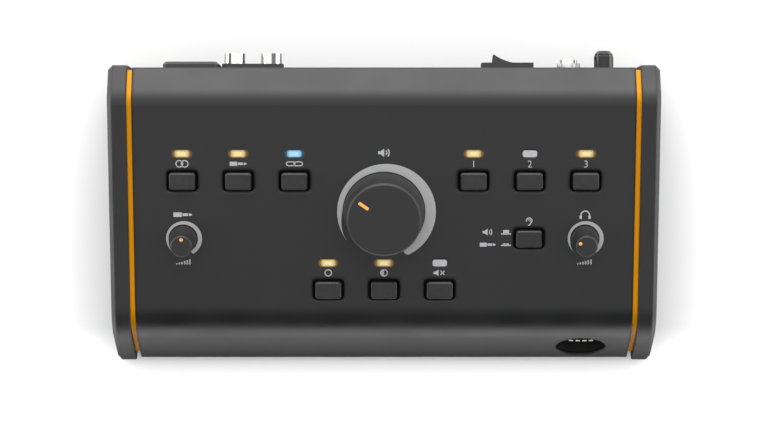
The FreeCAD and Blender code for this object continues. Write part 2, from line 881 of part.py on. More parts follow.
def dc_inlet():
    half = dc_body_width / 2
    low = -rear_panel_wall
    body = block((-half, -half, low - dc_body_depth), (half, half, low))
    height = dc_rise + rear_panel_inset - low
    body = body.fuse(rod(dc_collar_diameter, (0, 0, low), up, height))
    bore = rod(dc_bore, (0, 0, low - dc_bore_depth), up, dc_bore_depth + height + 1)
    pin = rod(dc_pin_diameter, (0, 0, low - dc_bore_depth), up, dc_bore_depth + height - dc_pin_setback)
    return on_rear(body.cut(bore.cut(pin)), dc_x, dc_z)


def dc_nut():
    nut = hexagon(dc_nut_width, 0.0, dc_nut_height)
    bore = rod(dc_collar_diameter + 2 * shaft_fit, (0, 0, -1), up, dc_nut_height + 2)
    return on_rear(nut.cut(bore), dc_x, dc_z)


def aerial_stub():
    """A short covered aerial: a round body under a slightly narrower domed cap."""
    tip = aerial_reach + rear_panel_inset
    cap_low = tip - aerial_cap_height
    body = rod(aerial_body_diameter, (0, 0, 0), up, cap_low)
    body = body.makeChamfer(aerial_body_bevel, edges_at_level(body, cap_low))
    cap = rod(aerial_cap_diameter, (0, 0, cap_low), up, aerial_cap_height)
    cap = cap.makeChamfer(aerial_cap_bevel, edges_at_level(cap, tip))
    return on_rear(body.fuse(cap).removeSplitter(), aerial_x, aerial_z)


def phones_body_u():
    """How far forward the headphone socket's body may stand behind the leaning front."""
    top = jack_low_z + jack_body_height / 2
    return case_depth - top * math.tan(math.radians(front_lean)) - sheet_run - phones_jack_gap


def headphone_jack():
    front = phones_body_u()
    back = front - jack_body_depth
    half = jack_width / 2
    tall = jack_body_height / 2
    low = spot(outer_column - half, front, jack_low_z - tall)
    body = block(low, spot(outer_column + half, back, jack_low_z + tall))
    collar = rod(jack_collar_diameter, spot(outer_column, front, jack_low_z), -rearward, phones_collar_reach)
    tip = spot(outer_column, front + phones_collar_reach + 1, jack_low_z)
    bore = rod(plug_bore, tip, rearward, phones_collar_reach + 1 + jack_bore_depth)
    return body.fuse(collar).cut(bore)


def headphone_cup():
    """The round recess between the front hole and the socket."""
    back = phones_body_u()
    outer = phones_hole_diameter + 2 * cup_wall
    start = spot(outer_column, back, jack_low_z)
    reach = case_depth - back
    cup = rod(outer, start, -rearward, reach)
    cup = cup.common(outline_slab(cover_wall, cover_wall, -half_width, half_width))
    inside = spot(outer_column, back + cup_wall, jack_low_z)
    cuts = [rod(phones_hole_diameter, inside, -rearward, reach)]
    cuts.append(rod(jack_collar_diameter + 2 * shaft_fit, start + rearward, -rearward, reach))
    return cup.cut(cuts)


# Every node, in its place

save("top_cover", top_cover())
save("chassis_tray", chassis_tray())
save("rear_panel", rear_panel())
save("left_cheek", cheek(-1))
save("right_cheek", cheek(1))
save("left_trim_strip", trim_strip(-1))
save("right_trim_strip", trim_strip(1))
save("base_screws", base_screws())
save("cheek_screws", cheek_screws())
save("rubber_feet", rubber_feet())
save("control_board", control_board())
save("panel_posts", panel_posts())
save("main_board", main_board())
save("board_posts", board_posts())
save("switch_bodies", switch_bodies())
save("indicator_leds", indicator_leds())
for name, (x, t) in buttons.items():
    save(name, button(x, t))
for name, places in lens_places.items():
    save(name, lenses(places))
save("main_knob", on_panel(main_knob()))
save("main_pointer", on_panel(pointer_blank()))
save("main_pot", on_panel(pot(main_pot_width, main_shaft_diameter, main_bushing, bushing_reach)))
save("main_shaft", on_panel(shaft(main_shaft_diameter, main_knob_height)))
save("main_pot_nut", pot_nut())
dot_angles = {"aux": 0.0, "phones": phones_dot_angle}
for name, x in side_knobs.items():
    dot_angle = dot_angles[name]
    save(name + "_knob", on_panel(moved(side_knob(dot_angle), x, side_knob_row)))
    save(name + "_dot", on_panel(moved(dot_blank(dot_angle), x, side_knob_row)))
    body = pot(side_pot_width, side_shaft_diameter, side_bushing, 0.0)
    save(name + "_pot", on_panel(moved(body, x, side_knob_row)))
    save(name + "_shaft", on_panel(moved(shaft(side_shaft_diameter, side_knob_height), x, side_knob_row)))
save("combo_jack", combo_jack())
save("rca_housing", rca_housing())
save("rca_barrels", rca_barrels())
save("rca_cores", rca_cores())
for name, x in zip(("input_jacks", "output_1_jacks", "output_2_jacks", "output_3_jacks"), jack_columns):
    save(name, jack_column(x))
save("power_switch", power_switch())
save("power_rocker", power_rocker())
save("dc_inlet", dc_inlet())
save("dc_nut", dc_nut())
save("aerial_stub", aerial_stub())
save("headphone_jack", headphone_jack())
save("headphone_cup", headphone_cup())
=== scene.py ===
import json
import math

import bmesh
import bpy
from mathutils import Matrix, Vector


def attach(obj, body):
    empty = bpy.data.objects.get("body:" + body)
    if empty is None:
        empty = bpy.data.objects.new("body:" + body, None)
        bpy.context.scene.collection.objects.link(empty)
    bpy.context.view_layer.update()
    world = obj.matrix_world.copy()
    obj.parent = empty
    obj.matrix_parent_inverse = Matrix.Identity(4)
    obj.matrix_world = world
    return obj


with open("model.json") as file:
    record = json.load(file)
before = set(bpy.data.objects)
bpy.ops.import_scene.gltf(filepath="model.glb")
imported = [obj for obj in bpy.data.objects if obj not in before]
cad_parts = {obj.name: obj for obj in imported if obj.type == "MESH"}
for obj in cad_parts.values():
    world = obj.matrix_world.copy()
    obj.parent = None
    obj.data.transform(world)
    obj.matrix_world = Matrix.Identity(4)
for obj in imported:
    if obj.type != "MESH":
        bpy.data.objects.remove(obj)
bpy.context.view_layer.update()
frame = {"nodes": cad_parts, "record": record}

MM = 0.001

# Where the panel and the rear face lie, read from the frame
record = frame["record"]
joints = {joint["name"]: joint for joint in record["behaviour"]["joints"]}
mounts = {mount["name"]: mount for mount in record["mounts"]}
panel_origin = Vector(joints["main_turn"]["pos_m"])
panel_normal = Vector(joints["main_turn"]["axis"]).normalized()
panel_right = Vector((1, 0, 0))
panel_up = panel_normal.cross(panel_right)
panel_matrix = Matrix((panel_right, panel_up, panel_normal)).transposed().to_4x4()
panel_matrix.translation = panel_origin
rear_socket = mounts["output_1_left_socket"]
rear_y = rear_socket["pos_m"][1] + rear_socket["dims"]["length_mm"] * MM / 2
rear_matrix = Matrix(((-1, 0, 0), (0, 0, 1), (0, 1, 0))).to_4x4()
rear_matrix.translation = Vector((0, rear_y, 0))


def panel_points(node):
    """Every vertex of a CAD node in panel millimetres: right, up the panel, and out of it."""
    offsets = [vertex.co - panel_origin for vertex in frame["nodes"][node].data.vertices]
    axes = (panel_right, panel_up, panel_normal)
    return [tuple(offset.dot(axis) / MM for axis in axes) for offset in offsets]


def panel_place(node):
    """The middle of a CAD node in panel millimetres: right, and up the panel."""
    across, along, _ = zip(*panel_points(node))
    return (min(across) + max(across)) / 2, (min(along) + max(along)) / 2


def panel_size(points):
    """How wide and how tall a set of panel points is."""
    across, along, _ = zip(*points)
    return max(across) - min(across), max(along) - min(along)


def put_in_scene(name, data):
    thing = bpy.data.objects.new(name, data)
    bpy.context.scene.collection.objects.link(thing)
    return thing


# Camera: straight above the panel, at the photograph's scale

IMAGE_WIDTH = 768
PANEL_MM_PER_PIXEL = 0.4
CAMERA_DISTANCE = 1.25
SENSOR_MM = 36.0


def make_camera():
    data = bpy.data.cameras.new("camera")
    camera = put_in_scene("camera", data)
    data.sensor_width = SENSOR_MM
    data.lens = SENSOR_MM * CAMERA_DISTANCE / (IMAGE_WIDTH * PANEL_MM_PER_PIXEL * MM)
    data.clip_start = 0.05
    data.clip_end = 20.0
    camera.location = panel_origin + Vector((0, 0, CAMERA_DISTANCE))
    bpy.context.scene.camera = camera


# Materials

DRIFT_SCALE = 45.0
GRAIN_LOW = 0.35
GRAIN_HIGH = 0.65


def new_material(name):
    material = bpy.data.materials.new(name)
    material.use_nodes = True
    return material, material.node_tree.nodes, material.node_tree.links


def noise(nodes, links, scale, detail=2.0, roughness=0.5, stretch=None):
    """Noise in object space. Scale is in features to the metre."""
    place = nodes.new("ShaderNodeTexCoord")
    source = place.outputs["Object"]
    if stretch:
        mapping = nodes.new("ShaderNodeMapping")
        mapping.inputs["Scale"].default_value = stretch
        links.new(source, mapping.inputs["Vector"])
        source = mapping.outputs["Vector"]
    texture = nodes.new("ShaderNodeTexNoise")
    texture.inputs["Scale"].default_value = scale
    texture.inputs["Detail"].default_value = detail
    texture.inputs["Roughness"].default_value = roughness
    links.new(source, texture.inputs["Vector"])
    return texture.outputs["Fac"]


def ramp(nodes, links, factor, stops):
    """A colour ramp of (position, colour) stops."""
    node = nodes.new("ShaderNodeValToRGB")
    elements = node.color_ramp.elements
    while len(elements) < len(stops):
        elements.new(0.5)
    for element, (position, colour) in zip(elements, stops):
        element.position = position
        element.color = (*colour, 1.0)
    links.new(factor, node.inputs["Fac"])
    return node.outputs["Color"]


def map_range(nodes, links, value, start, end):
    """Leads a value from one (input, output) pair to another, and holds it beyond them."""
    node = nodes.new("ShaderNodeMapRange")
    node.inputs["From Min"].default_value, node.inputs["To Min"].default_value = start
    node.inputs["From Max"].default_value, node.inputs["To Max"].default_value = end
    links.new(value, node.inputs["Value"])
    return node


def spread(nodes, links, factor, low, high):
    """Maps a noise of about 0.3 to 0.7 onto a range."""
    return map_range(nodes, links, factor, (0.3, low), (0.7, high)).outputs["Result"]


def math_node(nodes, links, operation, first, second=None):
    """One operation on one or two values. Each is a number or a socket."""
    node = nodes.new("ShaderNodeMath")
    node.operation = operation
    for socket, value in zip(node.inputs, (first, second)):
        if isinstance(value, float):
            socket.default_value = value
        elif value is not None:
            links.new(value, socket)
    return node.outputs[0]


def mix_colours(nodes, links, share, first, second):
    """A blend of two sockets."""
    node = nodes.new("ShaderNodeMix")
    node.data_type = "RGBA"
    links.new(share, node.inputs["Factor"])
    links.new(first, node.inputs["A"])
    links.new(second, node.inputs["B"])
    return node.outputs["Result"]


def object_axes(nodes, links):
    """The X, Y and Z of object space, as sockets."""
    place = nodes.new("ShaderNodeTexCoord")
    parts = nodes.new("ShaderNodeSeparateXYZ")
    links.new(place.outputs["Object"], parts.inputs["Vector"])
    return parts.outputs


def bump(nodes, links, height, distance, strength=1.0, rounded=None):
    node = nodes.new("ShaderNodeBump")
    node.inputs["Strength"].default_value = strength
    node.inputs["Distance"].default_value = distance
    links.new(height, node.inputs["Height"])
    if rounded:
        links.new(rounded, node.inputs["Normal"])
    return node.outputs["Normal"]


def finish_material(name, colour, rough, grain=2500.0, depth=0.00002, vary=0.12, metallic=0.0,
                    specular=0.5, rough_vary=0.06, stretch=None, soft_edge=0.0):
    """A grained finish: colour and roughness drift slowly, and a fine grain gives the bump.

    A soft edge, in metres, rounds the shading over the part's sharp edges.
    """
    material, nodes, links = new_material(name)
    shader = nodes["Principled BSDF"]
    drift = noise(nodes, links, DRIFT_SCALE, 3.0)
    fine = noise(nodes, links, grain, 2.0, 0.6, stretch)
    dark = tuple(channel * (1 - vary) for channel in colour)
    light = tuple(min(channel * (1 + vary), 1.0) for channel in colour)
    mix = nodes.new("ShaderNodeMix")
    mix.data_type = "FLOAT"
    mix.inputs["Factor"].default_value = 0.5
    links.new(drift, mix.inputs["A"])
    links.new(fine, mix.inputs["B"])
    grained = ramp(nodes, links, mix.outputs["Result"], [(GRAIN_LOW, dark), (GRAIN_HIGH, light)])
    links.new(grained, shader.inputs["Base Color"])
    links.new(spread(nodes, links, drift, rough - rough_vary, rough + rough_vary), shader.inputs["Roughness"])
    rounded = None
    if soft_edge > 0:
        edge = nodes.new("ShaderNodeBevel")
        edge.samples = 6
        edge.inputs["Radius"].default_value = soft_edge
        rounded = edge.outputs["Normal"]
    links.new(bump(nodes, links, fine, depth, rounded=rounded), shader.inputs["Normal"])
    shader.inputs["Metallic"].default_value = metallic
    shader.inputs["Specular IOR Level"].default_value = specular
    return material


def lens_material(name, core, rim, strength):
    """A moulded window, lit from behind: its colour drifts by a fine noise between a deeper rim colour and a
    brighter core colour.
    """
    material, nodes, links = new_material(name)
    shader = nodes["Principled BSDF"]
    fine = noise(nodes, links, 1800.0, 2.0)
    colour = ramp(nodes, links, fine, [(0.3, rim), (0.62, core)])
    links.new(colour, shader.inputs["Base Color"])
    if strength > 0:
        links.new(colour, shader.inputs["Emission Color"])
        shader.inputs["Emission Strength"].default_value = strength
    shader.inputs["Roughness"].default_value = 0.35
    links.new(bump(nodes, links, fine, 0.00001), shader.inputs["Normal"])
    return material


def glow_material(name, paint, light, strength, falloff):
    """A surface that glows by the piece's glow attribute, such as paint beside a lit window."""
    material, nodes, links = new_material(name)
    shader = nodes["Principled BSDF"]
    attribute = nodes.new("ShaderNodeAttribute")
    attribute.attribute_name = "glow"
    power = math_node(nodes, links, "POWER", attribute.outputs["Fac"], falloff)
    shine = ramp(nodes, links, power, [(0.0, (0.0, 0.0, 0.0)), (1.0, light)])
    links.new(shine, shader.inputs["Emission Color"])
    shader.inputs["Emission Strength"].default_value = strength
    fine = noise(nodes, links, 2500.0, 2.0, 0.6)
    low = tuple(channel * 0.88 for channel in paint)
    high = tuple(channel * 1.12 for channel in paint)
    grained = ramp(nodes, links, fine, [(GRAIN_LOW, low), (GRAIN_HIGH, high)])
    links.new(grained, shader.inputs["Base Color"])
    shader.inputs["Roughness"].default_value = 0.5
    return material


def split_material(name, left, right, split_x):
    """Two colours of one moulding, parted at one X of the object."""
    material, nodes, links = new_material(name)
    shader = nodes["Principled BSDF"]
    side = math_node(nodes, links, "GREATER_THAN", object_axes(nodes, links)["X"], split_x)
    links.new(ramp(nodes, links, side, [(0.0, left), (1.0, right)]), shader.inputs["Base Color"])
    shader.inputs["Roughness"].default_value = 0.35
    fine = noise(nodes, links, 1500.0)
    links.new(bump(nodes, links, fine, 0.00001), shader.inputs["Normal"])
    return material


def polished_material(name, dark, light, rough, painted_stripe_scale):
    """Polished metal. The dark and bright bands along its length are painted reflections, the stripes that a
    polished barrel shows.
    """
    material, nodes, links = new_material(name)
    shader = nodes["Principled BSDF"]
    bands = noise(nodes, links, painted_stripe_scale, 1.0, 0.5, (1.0, 0.02, 0.6))
    links.new(ramp(nodes, links, bands, [(0.4, dark), (0.5, light)]), shader.inputs["Base Color"])
    shader.inputs["Metallic"].default_value = 1.0
    shader.inputs["Roughness"].default_value = rough
    fine = noise(nodes, links, 1200.0)
    links.new(bump(nodes, links, fine, 0.000002), shader.inputs["Normal"])
    return material


COVER = (0.0092, 0.0093, 0.0096)
KNOB = (0.0125, 0.0125, 0.0127)
WARM_CORE = (0.50, 0.42, 0.22)
WARM_RIM = (0.30, 0.22, 0.07)
GLOW_WARM = (1.0, 0.42, 0.02)
BLUE_CORE = (0.20, 0.34, 0.42)
BLUE_RIM = (0.09, 0.24, 0.36)
GLOW_BLUE = (0.05, 0.35, 0.75)
INK = (0.40, 0.40, 0.41)

phono_middle_x = (mounts["phono_left_barrel"]["pos_m"][0] + mounts["phono_right_barrel"]["pos_m"][0]) / 2

materials = {
    "cover_paint": finish_material("cover_paint", COVER, 0.37, grain=2600.0, depth=0.00003, soft_edge=0.0018),
    "chassis_steel": finish_material("chassis_steel", (0.03, 0.031, 0.033), 0.5, grain=2200.0, depth=0.00003),
    "cheek_plastic": finish_material("cheek_plastic", (0.011, 0.0111, 0.0114), 0.46, grain=1500.0,
                                     depth=0.00004, soft_edge=0.0012),
    "accent_plastic": finish_material("accent_plastic", (0.80, 0.31, 0.0), 0.2, grain=1200.0, vary=0.04,
                                      depth=0.000004, specular=0.09),
    "knob_plastic": finish_material("knob_plastic", KNOB, 0.5, grain=3000.0, depth=0.00002, vary=0.06),
    "button_plastic": finish_material("button_plastic", (0.0145, 0.0146, 0.0149), 0.38, grain=700.0,
                                      vary=0.35, soft_edge=0.0005),
    "pointer_orange": finish_material("pointer_orange", (0.93, 0.42, 0.10), 0.4, vary=0.04),
    "lens_warm": lens_material("lens_warm", WARM_CORE, WARM_RIM, 0.2),
    "lens_blue": lens_material("lens_blue", BLUE_CORE, BLUE_RIM, 0.2),
    "lens_grey": lens_material("lens_grey", (0.44, 0.44, 0.45), (0.38, 0.38, 0.39), 0.0),
    "socket_black": finish_material("socket_black", (0.018, 0.018, 0.019), 0.42, grain=1800.0),
    "nickel": finish_material("nickel", (0.78, 0.76, 0.73), 0.2, grain=900.0, metallic=1.0, vary=0.04,
                              depth=0.000004, rough_vary=0.05, stretch=(1.0, 6.0, 1.0)),
    "insulator": split_material("insulator", (0.80, 0.80, 0.77), (0.55, 0.02, 0.02), phono_middle_x),
    "board_green": finish_material("board_green", (0.015, 0.13, 0.05), 0.4, grain=1000.0),
    "zinc": finish_material("zinc", (0.58, 0.58, 0.57), 0.34, metallic=1.0, grain=1500.0, vary=0.06),
    "rubber": finish_material("rubber", (0.014, 0.014, 0.015), 0.8, grain=1400.0, depth=0.00005,
                              specular=0.3),
    "led_body": finish_material("led_body", (0.8, 0.8, 0.76), 0.5),
}
# The bands of chrome and bright metal are painted reflection stripes
chrome = polished_material("chrome", (0.16, 0.155, 0.15), (0.95, 0.94, 0.92), 0.16, 620.0)
bright_metal = polished_material("bright_metal", (0.6, 0.59, 0.57), (0.97, 0.96, 0.95), 0.25, 900.0)
# The contacts' finish glows, so they show as bright glints without a lamp: a painted glint
painted_glint_metal = lens_material("painted_glint_metal", (0.85, 0.80, 0.66), (0.55, 0.52, 0.45), 0.35)
gloss_black = finish_material("gloss_black", (0.004, 0.004, 0.0043), 0.13, grain=600.0, depth=0.000004,
                              rough_vary=0.04)
jack_black = finish_material("jack_black", (0.006, 0.006, 0.0062), 0.55, grain=1800.0, specular=0.15)
ink = finish_material("panel_ink", INK, 0.42, grain=3000.0, vary=0.05, depth=0.00001)
scale_ink = finish_material("scale_ink", (0.40, 0.40, 0.405), 0.40, grain=2600.0, vary=0.06, depth=0.00002,
                            metallic=0.35)
glow_warm = glow_material("glow_warm", COVER, GLOW_WARM, 0.34, 1.3)
glow_blue = glow_material("glow_blue", COVER, GLOW_BLUE, 0.3, 1.3)
face_warm = glow_material("face_warm", WARM_RIM, (0.73, 0.65, 0.36), 1.0, 0.55)
face_blue = glow_material("face_blue", BLUE_RIM, (0.40, 0.60, 0.72), 1.0, 0.55)
# Near black, for the rings of painted shade that fill the gap round each button cap
painted_shade_black = finish_material("painted_shade_black", (0.0015, 0.0015, 0.0015), 0.8, specular=0.05, vary=0.1)


# Nodes whose finish differs from the rest of their material slot
node_finishes = {
    "rca_barrels": chrome,
    "dc_nut": bright_metal,
    "dc_inlet": bright_metal,
    "aerial_stub": gloss_black,
    "headphone_jack": jack_black,
    "headphone_cup": jack_black,
}


def dress_nodes():
    """Every CAD node takes its own finish, or the one of its material slot."""
    for part in record["subparts"]:
        node = frame["nodes"][part["node"]]
        node.data.materials.clear()
        finish = node_finishes.get(part["node"], materials[part["material_slot"]])
        node.data.materials.append(finish)


# Mesh helpers. Shapes are drawn in millimetres on a face, then placed by that face's matrix.

PRINT_HEIGHT = 0.04


def piece(name, build, place, material, body="case"):
    """One mesh piece. build fills a bmesh in local millimetres."""
    mesh = bmesh.new()
    build(mesh)
    bmesh.ops.recalc_face_normals(mesh, faces=mesh.faces)
    mesh.transform(place @ Matrix.Scale(MM, 4))
    data = bpy.data.meshes.new(name)
    mesh.to_mesh(data)
    mesh.free()
    data.materials.append(material)
    thing = put_in_scene(name, data)
    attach(thing, body)


def slab(mesh, loop, low, high):
    """A flat shape with thickness, from one closed outline."""
    bottom = [mesh.verts.new((x, y, low)) for x, y in loop]
    top = [mesh.verts.new((x, y, high)) for x, y in loop]
    mesh.faces.new(bottom)
    mesh.faces.new(top)
    for index in range(len(loop)):
        after = (index + 1) % len(loop)
        mesh.faces.new((bottom[index], bottom[after], top[after], top[index]))


def printed_block(mesh, left, low, right, high):
    """A printed rectangle."""
    slab(mesh, [(left, low), (right, low), (right, high), (left, high)], 0.0, PRINT_HEIGHT)


def bridge(mesh, rows):
    """Joins each closed row of points to the next one."""
    for here, there in zip(rows, rows[1:]):
        for index in range(len(here)):
            after = (index + 1) % len(here)
            mesh.faces.new((here[index], here[after], there[after], there[index]))


def ribbon(mesh, inner, outer, low, high, closed):
    """A band with thickness between two matching rows of points."""
    rings = []
    for (ax, ay), (bx, by) in zip(inner, outer):
        corners = ((ax, ay, low), (bx, by, low), (bx, by, high), (ax, ay, high))
        rings.append([mesh.verts.new(corner) for corner in corners])
    count = len(rings)
    for index in range(count if closed else count - 1):
        here = rings[index]
        there = rings[(index + 1) % count]
        for side in range(4):
            other = (side + 1) % 4
            mesh.faces.new((here[side], here[other], there[other], there[side]))
    if not closed:
        mesh.faces.new(rings[0])
        mesh.faces.new(rings[-1])


def on_circle(x, y, radius, degrees):
    angle = math.radians(degrees)
    return x + radius * math.sin(angle), y + radius * math.cos(angle)


def arc(mesh, x, y, radius, width, start=0.0, end=360.0, steps=32):
    """A drawn line along a circle. Angles run clockwise from twelve o'clock."""
    closed = abs(end - start) >= 360.0
    count = steps if closed else steps + 1
    turns = [start + (end - start) * index / steps for index in range(count)]
    inner = [on_circle(x, y, radius - width / 2, turn) for turn in turns]
    outer = [on_circle(x, y, radius + width / 2, turn) for turn in turns]
    ribbon(mesh, inner, outer, 0.0, PRINT_HEIGHT, closed)


def stroke(mesh, x0, y0, x1, y1, width):
    """A drawn straight line."""
    along = Vector((x1 - x0, y1 - y0)).normalized()
    across = Vector((-along.y, along.x)) * (width / 2)
    start = Vector((x0, y0))
    end = Vector((x1, y1))
    slab(mesh, [start + across, start - across, end - across, end + across], 0.0, PRINT_HEIGHT)


# Printed scales round the knobs: crescents between two circles that aren't concentric

MAIN_SCALE = {"inner": 16.6, "outer": 19.75, "shift": 1.0, "start": -128.0, "end": 154.0}
SIDE_SCALE = {"inner": 5.9, "outer": 7.2, "shift": 0.35, "start": -143.0, "end": 150.0}
SCALE_STEPS = 96
TAPER_SHARE = 0.16
TAPER_LEAST = 0.04
END_SHARE = 0.5
END_LEAST = 0.45


def outer_radius(scale, degrees):
    """Distance from the knob's axis to the outer circle, whose middle is shifted right."""
    angle = math.radians(degrees)
    shift = scale["shift"]
    ahead = shift * math.sin(angle)
    return ahead + math.sqrt(ahead * ahead + scale["outer"] ** 2 - shift * shift)


def crescent(scale, x, y):
    """Draws one scale: a fine point where it starts, a round end where it is widest."""
    def build(mesh):
        inner = []
        outer = []
        for index in range(SCALE_STEPS + 1):
            share = index / SCALE_STEPS
            degrees = scale["start"] + (scale["end"] - scale["start"]) * share
            far = outer_radius(scale, degrees)
            near = scale["inner"]
            taper = min(share / TAPER_SHARE, 1.0)
            taper = taper * taper * (3 - 2 * taper)
            near = far - (far - near) * max(taper, TAPER_LEAST)
            left = (1.0 - share) * math.radians(scale["end"] - scale["start"]) * near
            half = (far - near) / 2
            round_run = half * END_SHARE
            if left < round_run:
                keep = math.sqrt(max(1.0 - (1.0 - left / round_run) ** 2, 0.0))
                keep = END_LEAST + (1.0 - END_LEAST) * keep
                middle = (far + near) / 2
                far = middle + half * keep
                near = middle - half * keep
            inner.append(on_circle(x, y, near, degrees))
            outer.append(on_circle(x, y, far, degrees))
        ribbon(mesh, inner, outer, 0.0, PRINT_HEIGHT, False)
    return build


def side_knob_place(name):
    offset = Vector(joints[name + "_turn"]["pos_m"]) - panel_origin
    return offset.dot(panel_right) / MM, offset.dot(panel_up) / MM


def make_scales():
    piece("main_scale", crescent(MAIN_SCALE, 0.0, 0.0), panel_matrix, scale_ink)
    for name in ("aux", "phones"):
        x, y = side_knob_place(name)
        piece(name + "_scale", crescent(SIDE_SCALE, x, y), panel_matrix, scale_ink)


# Printed marks. Plain signs and numbers stand where each control is named.

LINE = 0.42
BAR = 0.5


def draw_stereo(mesh, x, y):
    """Two rings side by side that overlap."""
    arc(mesh, x - 1.05, y, 1.35, LINE, 40, 320)
    arc(mesh, x + 1.05, y, 1.35, LINE, -140, 140)
    arc(mesh, x - 1.05, y, 1.35, LINE, -38, 38, 8)
    arc(mesh, x + 1.05, y, 1.35, LINE, 142, 218, 8)


def draw_plug(mesh, x, y, size=1.0):
    """A jack plug lying on its side."""
    printed_block(mesh, x - 3.4 * size, y - 0.85 * size, x - 0.4 * size, y + 0.85 * size)
    printed_block(mesh, x - 0.1 * size, y - 0.5 * size, x + 1.9 * size, y + 0.5 * size)
    slab(mesh, [(x + 2.2 * size, y - 0.45 * size), (x + 2.8 * size, y - 0.5 * size), (x + 3.5 * size, y),
                (x + 2.8 * size, y + 0.5 * size), (x + 2.2 * size, y + 0.45 * size)], 0.0, PRINT_HEIGHT)


def draw_link(mesh, x, y):
    """Two links of a chain, for joining a source."""
    for side in (-1, 1):
        middle = x + side * 1.5
        stroke(mesh, middle - 0.9, y + 0.8, middle + 0.9, y + 0.8, LINE)
        stroke(mesh, middle - 0.9, y - 0.8, middle + 0.9, y - 0.8, LINE)
        arc(mesh, middle - 0.9, y, 0.8, LINE, 180, 360, 12)
        arc(mesh, middle + 0.9, y, 0.8, LINE, 0, 180, 12)


def draw_ring(mesh, x, y):
    arc(mesh, x, y, 1.3, LINE)


def draw_half(mesh, x, y):
    """A ring filled on one side, for a lowered level."""
    arc(mesh, x, y, 1.35, LINE)
    edge = [on_circle(x, y, 1.1, degrees) for degrees in range(180, 361, 15)]
    slab(mesh, edge, 0.0, PRINT_HEIGHT)


def draw_speaker(mesh, x, y, size=1.0, waves=2):
    """A loudspeaker seen from the side, with its waves."""
    slab(mesh, [(x - 2.2 * size, y - 0.55 * size), (x - 1.3 * size, y - 0.55 * size),
                (x - 0.1 * size, y - 1.45 * size), (x - 0.1 * size, y + 1.45 * size),
                (x - 1.3 * size, y + 0.55 * size), (x - 2.2 * size, y + 0.55 * size)], 0.0, PRINT_HEIGHT)
    for index in range(waves):
        arc(mesh, x - 0.3 * size, y, (1.1 + 0.85 * index) * size, LINE * size, 48, 132, 10)


def draw_muted(mesh, x, y):
    draw_speaker(mesh, x - 0.4, y, 0.95, 0)
    stroke(mesh, x + 0.3, y - 0.8, x + 1.9, y + 0.8, LINE)
    stroke(mesh, x + 0.3, y + 0.8, x + 0.86, y + 0.24, LINE)
    stroke(mesh, x + 1.34, y - 0.24, x + 1.9, y - 0.8, LINE)


def draw_headphones(mesh, x, y, size=1.0):
    """A headband with an ear piece at each end."""
    arc(mesh, x, y - 0.2 * size, 1.5 * size, LINE * size, -90, 90, 20)
    for side in (-1, 1):
        near = x + side * 1.15 * size
        far = x + side * 1.95 * size
        slab(mesh, [(near, y - 1.6 * size), (far, y - 1.45 * size), (far, y - 0.35 * size),
                    (near, y - 0.2 * size)], 0.0, PRINT_HEIGHT)


def draw_wedge(mesh, x, y):
    """A rising wedge, for a level."""
    for index in range(6):
        left = x - 3.0 + index * 1.05
        tall = 0.5 + 0.32 * index
        printed_block(mesh, left, y - 1.1, left + 0.6, y - 1.1 + tall)


def draw_ear(mesh, x, y):
    """An ear outline, for listening ahead."""
    arc(mesh, x, y + 0.3, 1.15, LINE, -110, 110, 20)
    arc(mesh, x, y + 0.3, 0.5, LINE * 0.8, -60, 150, 12)
    stroke(mesh, x + 1.08, y - 0.09, x + 0.35, y - 1.1, LINE)
    arc(mesh, x - 0.05, y - 1.1, 0.42, LINE, 90, 235, 8)


def draw_button_out(mesh, x, y):
    """The side view of a latching button that stands out."""
    stroke(mesh, x - 2.0, y - 0.75, x + 2.0, y - 0.75, BAR)
    printed_block(mesh, x - 1.2, y - 0.4, x + 1.2, y + 0.85)


def draw_button_in(mesh, x, y):
    """The side view of a latching button that is pressed in."""
    stroke(mesh, x - 2.0, y - 0.3, x + 2.0, y - 0.3, BAR)
    printed_block(mesh, x - 1.2, y + 0.05, x + 1.2, y + 0.5)


NUMBER_TALL = 3.0
FONT_SIZE_TO_DIGIT = 1.38
FONT_THINNING = -0.012


def number(name, digit, x, y, place):
    """A plain number, flat on a face, from the built-in font."""
    curve = bpy.data.curves.new(name, "FONT")
    curve.body = digit
    curve.size = NUMBER_TALL * FONT_SIZE_TO_DIGIT
    curve.align_x = "CENTER"
    curve.extrude = PRINT_HEIGHT / 2
    curve.resolution_u = 4
    curve.offset = FONT_THINNING * NUMBER_TALL
    source = bpy.data.objects.new(name, curve)
    mesh = bpy.data.meshes.new_from_object(source)
    bpy.data.objects.remove(source)
    mesh.name = name
    lift = Matrix.Translation((x, y - NUMBER_TALL / 2, PRINT_HEIGHT / 2))
    mesh.transform(place @ Matrix.Scale(MM, 4) @ lift)
    mesh.materials.clear()
    mesh.materials.append(ink)
    thing = put_in_scene(name, mesh)
    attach(thing, "case")


LABEL_ABOVE = 7.0
MAIN_TITLE = (0.2, 24.3)
SIDE_TITLE = 9.9
SIDE_FOOTING = -9.6
LISTEN_ROW = 2.6
LISTEN_STATE = 9.2
LISTEN_SOURCE = 16.5


def sign(name, draw, x, y, *size):
    """A drawn sign, printed on the panel."""
    piece(name, lambda mesh: draw(mesh, x, y, *size), panel_matrix, ink)


